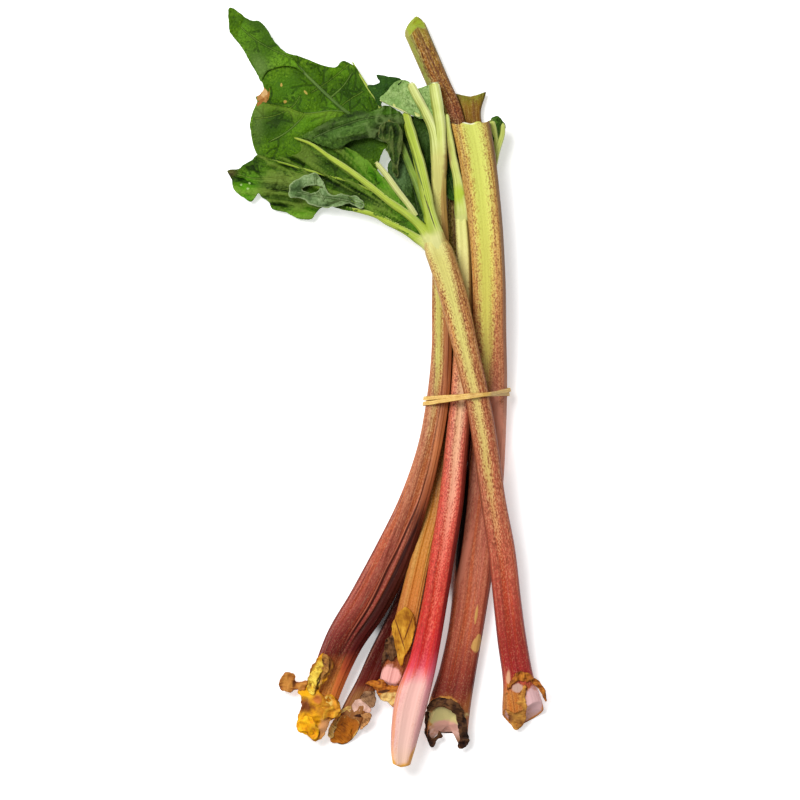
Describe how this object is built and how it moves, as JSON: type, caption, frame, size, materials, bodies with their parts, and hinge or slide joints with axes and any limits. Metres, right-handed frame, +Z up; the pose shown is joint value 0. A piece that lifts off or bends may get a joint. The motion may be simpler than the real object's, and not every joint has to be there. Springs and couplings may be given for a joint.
{
  "type": "tied bunch of rhubarb stalks",
  "caption": "Bunch of long ribbed rhubarb stalks lying crossed and held by a twice-wound rubber band, with torn cut bases and a folded leaf at the top.",
  "frame": {"origin": "middle of the bunch's outline seen from above, on the surface it lies on", "axes": "+Y along the stalks from the cut bases to the leaf end, +X to the right seen from above with the leaf end up, +Z up"},
  "size_m": [0.2218, 0.5278, 0.0427],
  "materials": {
    "left_stalk_skin": "waxy ribbed plant skin, olive above and brick red below",
    "leaf_stalk_skin": "waxy ribbed plant skin, yellow-green stripe fading to red at the base",
    "pink_stalk_skin": "smooth waxy plant skin, bright red, pale pink at the base",
    "broad_stalk_skin": "waxy plant skin, yellow-green face with speckled tan shoulders, dull rose below",
    "long_stalk_skin": "ribbed olive and ochre plant skin with brown speckles",
    "dark_stalk_skin": "waxy dark maroon plant skin, brown at the cut",
    "leaf": "soft green leaf with raised yellow-green ribs",
    "pale_leaf_base": "pale yellow-green ribs with grey-green underside",
    "dried_husk": "dried papery golden-brown husk",
    "band_rubber": "tan natural rubber"
  },
  "bodies": {
    "root": {"left_stalk": "left_stalk_skin", "leaf_stalk": "leaf_stalk_skin", "pink_stalk": "pink_stalk_skin", "broad_stalk": "broad_stalk_skin", "long_stalk": "long_stalk_skin", "dark_stalk": "dark_stalk_skin", "leaf_blade": "leaf", "left_leaf_base": "pale_leaf_base", "pink_leaf_base": "pale_leaf_base", "broad_leaf_base": "pale_leaf_base", "left_heel": "dried_husk", "dry_scale": "dried_husk", "dry_flap": "dried_husk", "rubber_band": "band_rubber"}
  },
  "joints": []
}
